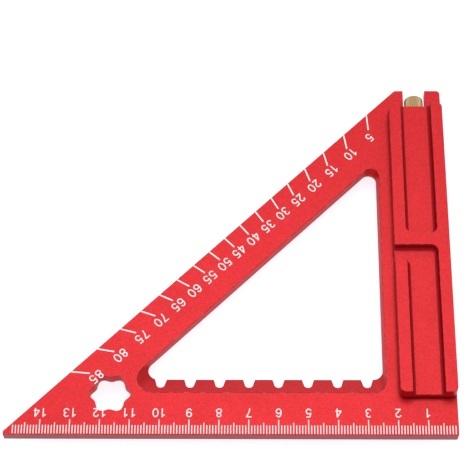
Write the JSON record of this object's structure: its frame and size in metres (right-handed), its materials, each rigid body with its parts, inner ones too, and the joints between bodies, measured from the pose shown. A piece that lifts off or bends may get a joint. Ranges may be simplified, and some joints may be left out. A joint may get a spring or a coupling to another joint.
{
  "type": "speed square",
  "caption": "Metric try and mitre square: triangular blade with window, scribing notches and a double-sided fence that stows a brass-headed scriber.",
  "frame": {"origin": "middle of the bounding box in X and Y, at the level of the back fence rail's outer face", "axes": "+X from the blade's tip towards the fence, +Y along the fence from the ruler edge to the scriber's head, +Z out of the blade's marked front face"},
  "size_m": [0.1522, 0.1366, 0.0145],
  "materials": {
    "anodised_aluminium": "fine bead-blasted, red anodised, satin",
    "brass": "turned, fine straight knurl",
    "screw_steel": "zinc plated",
    "tool_steel": "ground and hardened",
    "rubber": "black nitrile",
    "nylon": "natural nylon"
  },
  "bodies": {
    "square": {"blade": "anodised_aluminium", "front_rail": "anodised_aluminium", "back_rail": "anodised_aluminium", "channel_stop_plug": "nylon", "rail_screw_left_1": "screw_steel", "rail_screw_right_1": "screw_steel", "rail_screw_left_2": "screw_steel", "rail_screw_right_2": "screw_steel", "rail_screw_left_3": "screw_steel", "rail_screw_right_3": "screw_steel", "rail_screw_left_4": "screw_steel", "rail_screw_right_4": "screw_steel", "cross_bar_screw": "screw_steel", "dowel_left": "screw_steel", "dowel_right": "screw_steel"},
    "scriber": {"scriber_handle": "brass", "scriber_needle": "tool_steel", "scriber_chuck": "brass", "scriber_o_ring": "rubber", "scriber_grub_screw": "tool_steel"}
  },
  "joints": [
    {"name": "scriber_pull", "type": "slide", "parent": "square", "child": "scriber", "axis": [0, 1, 0], "range_m": [0, 0.06]}
  ]
}
